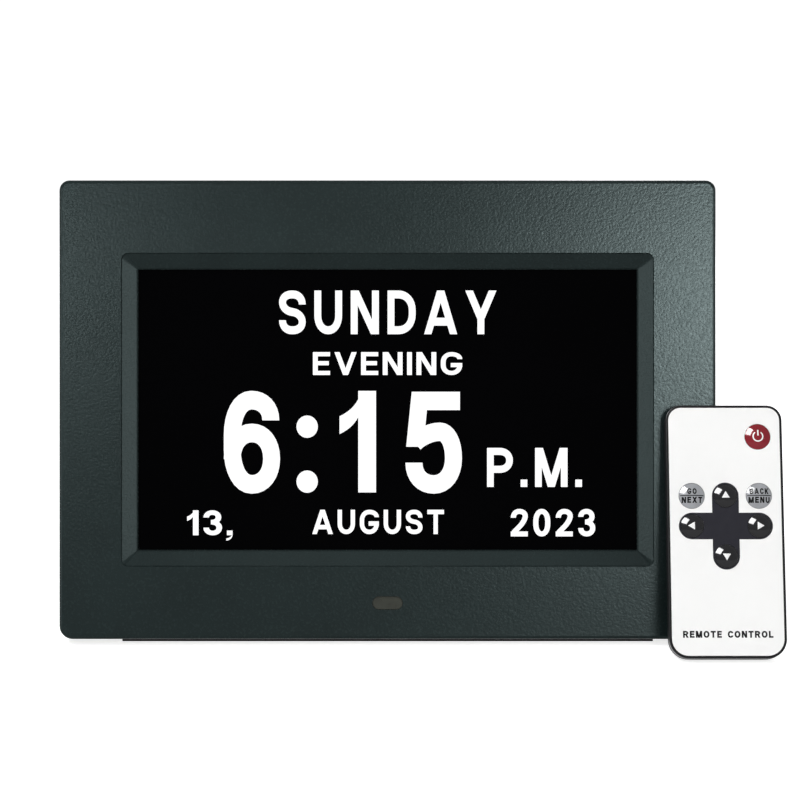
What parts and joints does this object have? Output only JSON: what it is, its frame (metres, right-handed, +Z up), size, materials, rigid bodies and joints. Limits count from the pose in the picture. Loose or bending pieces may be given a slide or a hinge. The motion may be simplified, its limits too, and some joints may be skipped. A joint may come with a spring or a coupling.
{
  "type": "calendar day clock",
  "caption": "Wide frame-shaped day clock with a lit calendar screen, a fold-out rear leg, keys on its back and a card remote control.",
  "frame": {"origin": "middle of the clock's foot strip, on the table that the clock stands on", "axes": "+Z up, the screen faces -Y and leans back, +X to the viewer's right"},
  "size_m": [0.2475, 0.0785, 0.158],
  "materials": {
    "frame_plastic": "fine spark-eroded grain, satin",
    "cover_plastic": "fine spark-eroded grain, satin",
    "sensor_filter": "smoked, infrared-clear",
    "foot_rubber": "matt",
    "screen_glass": "polished, black when off",
    "panel_steel": "bright tin plate",
    "guide_acrylic": "clear, frosted back",
    "lamp_strip": "white strip with phosphor lamps",
    "ribbon_amber": "polyimide film",
    "ribbon_grey": "polyester film",
    "board_green": "solder resist over glass fibre",
    "chip_black": "moulded resin",
    "capacitor_can": "drawn can",
    "socket_cream": "moulded",
    "screw_steel": "zinc plated",
    "pin_steel": "bright",
    "cell_steel": "satin",
    "clip_black": "moulded",
    "key_plastic": "satin",
    "cone_paper": "pressed paper",
    "magnet_iron": "plated",
    "lead_red": "insulated",
    "lead_black": "insulated",
    "remote_black": "semi-gloss",
    "remote_white": "glossy film",
    "remote_inlay": "glossy",
    "mat_rubber": "silicone",
    "led_clear": "cast resin",
    "contact_brass": "nickel wash",
    "key_red": "clear dome over red",
    "key_grey": "clear dome over grey",
    "key_black": "clear dome over black"
  },
  "bodies": {
    "clock": {"front_frame": "frame_plastic", "sensor_window": "sensor_filter", "foot_strip": "foot_rubber", "panel_can": "panel_steel", "panel_glass": "screen_glass", "light_guide": "guide_acrylic", "led_strip": "lamp_strip", "panel_brackets": "panel_steel", "bracket_screws": "screw_steel", "panel_ribbon": "ribbon_amber", "sensor_board": "board_green", "sensor_receiver": "chip_black", "sensor_screws": "screw_steel", "rear_cover": "cover_plastic", "cover_screws": "screw_steel", "leg_pin": "pin_steel", "main_board": "board_green", "board_chips": "chip_black", "board_capacitors": "capacitor_can", "board_sockets": "socket_cream", "board_screws": "screw_steel", "backup_cell": "cell_steel", "backup_cell_clip": "clip_black", "key_board": "board_green", "key_switches": "clip_black", "key_ribbon": "ribbon_grey", "speaker_basket": "clip_black", "speaker_cone": "cone_paper", "speaker_magnet": "magnet_iron", "speaker_leads": "lead_red", "inlet_socket": "clip_black", "inlet_pin": "pin_steel", "inlet_leads": "lead_black"},
    "leg": {"leg": "cover_plastic", "leg_foot": "foot_rubber"},
    "remote": {"remote_case": "remote_black", "remote_face": "remote_white", "remote_cross": "remote_inlay", "remote_mat": "mat_rubber", "remote_board": "board_green", "remote_chips": "chip_black", "remote_led": "led_clear", "remote_contacts": "contact_brass"},
    "battery_tray": {"remote_tray": "remote_black", "remote_cell": "cell_steel"},
    "clock_key_power": {"key_power": "key_plastic"},
    "clock_key_menu": {"key_menu": "key_plastic"},
    "clock_key_up": {"key_up": "key_plastic"},
    "clock_key_down": {"key_down": "key_plastic"},
    "clock_key_left": {"key_left": "key_plastic"},
    "clock_key_right": {"key_right": "key_plastic"},
    "clock_key_enter": {"key_enter": "key_plastic"},
    "remote_key_power": {"remote_key_power": "key_red"},
    "remote_key_enter": {"remote_key_enter": "key_grey"},
    "remote_key_setup": {"remote_key_setup": "key_grey"},
    "remote_key_up": {"remote_key_up": "key_black"},
    "remote_key_down": {"remote_key_down": "key_black"},
    "remote_key_left": {"remote_key_left": "key_black"},
    "remote_key_right": {"remote_key_right": "key_black"}
  },
  "joints": [
    {"name": "leg_fold", "type": "hinge", "parent": "clock", "child": "leg", "pos_m": [0, 0.02696, 0.07546], "axis": [-1, 0, 0], "range_deg": [0, 24]},
    {"name": "clock_key_power_press", "type": "slide", "parent": "clock", "child": "clock_key_power", "axis": [0, -0.9848, 0.1736], "range_m": [0, 0.0005], "stiffness_N_per_m": 250},
    {"name": "clock_key_menu_press", "type": "slide", "parent": "clock", "child": "clock_key_menu", "axis": [0, -0.9848, 0.1736], "range_m": [0, 0.0005], "stiffness_N_per_m": 250},
    {"name": "clock_key_up_press", "type": "slide", "parent": "clock", "child": "clock_key_up", "axis": [0, -0.9848, 0.1736], "range_m": [0, 0.0005], "stiffness_N_per_m": 250},
    {"name": "clock_key_down_press", "type": "slide", "parent": "clock", "child": "clock_key_down", "axis": [0, -0.9848, 0.1736], "range_m": [0, 0.0005], "stiffness_N_per_m": 250},
    {"name": "clock_key_left_press", "type": "slide", "parent": "clock", "child": "clock_key_left", "axis": [0, -0.9848, 0.1736], "range_m": [0, 0.0005], "stiffness_N_per_m": 250},
    {"name": "clock_key_right_press", "type": "slide", "parent": "clock", "child": "clock_key_right", "axis": [0, -0.9848, 0.1736], "range_m": [0, 0.0005], "stiffness_N_per_m": 250},
    {"name": "clock_key_enter_press", "type": "slide", "parent": "clock", "child": "clock_key_enter", "axis": [0, -0.9848, 0.1736], "range_m": [0, 0.0005], "stiffness_N_per_m": 250},
    {"name": "remote_lift", "type": "slide", "parent": "clock", "child": "remote", "axis": [0, -0.6, 0.8], "range_m": [0, 0.12]},
    {"name": "remote_key_power_press", "type": "slide", "parent": "remote", "child": "remote_key_power", "axis": [0, 0.9397, -0.342], "range_m": [0, 0.0006], "stiffness_N_per_m": 250},
    {"name": "remote_key_enter_press", "type": "slide", "parent": "remote", "child": "remote_key_enter", "axis": [0, 0.9397, -0.342], "range_m": [0, 0.0006], "stiffness_N_per_m": 250},
    {"name": "remote_key_setup_press", "type": "slide", "parent": "remote", "child": "remote_key_setup", "axis": [0, 0.9397, -0.342], "range_m": [0, 0.0006], "stiffness_N_per_m": 250},
    {"name": "remote_key_up_press", "type": "slide", "parent": "remote", "child": "remote_key_up", "axis": [0, 0.9397, -0.342], "range_m": [0, 0.0006], "stiffness_N_per_m": 250},
    {"name": "remote_key_down_press", "type": "slide", "parent": "remote", "child": "remote_key_down", "axis": [0, 0.9397, -0.342], "range_m": [0, 0.0006], "stiffness_N_per_m": 250},
    {"name": "remote_key_left_press", "type": "slide", "parent": "remote", "child": "remote_key_left", "axis": [0, 0.9397, -0.342], "range_m": [0, 0.0006], "stiffness_N_per_m": 250},
    {"name": "remote_key_right_press", "type": "slide", "parent": "remote", "child": "remote_key_right", "axis": [0, 0.9397, -0.342], "range_m": [0, 0.0006], "stiffness_N_per_m": 250},
    {"name": "battery_tray_pull", "type": "slide", "parent": "remote", "child": "battery_tray", "axis": [0, -0.342, -0.9397], "range_m": [0, 0.026]}
  ]
}
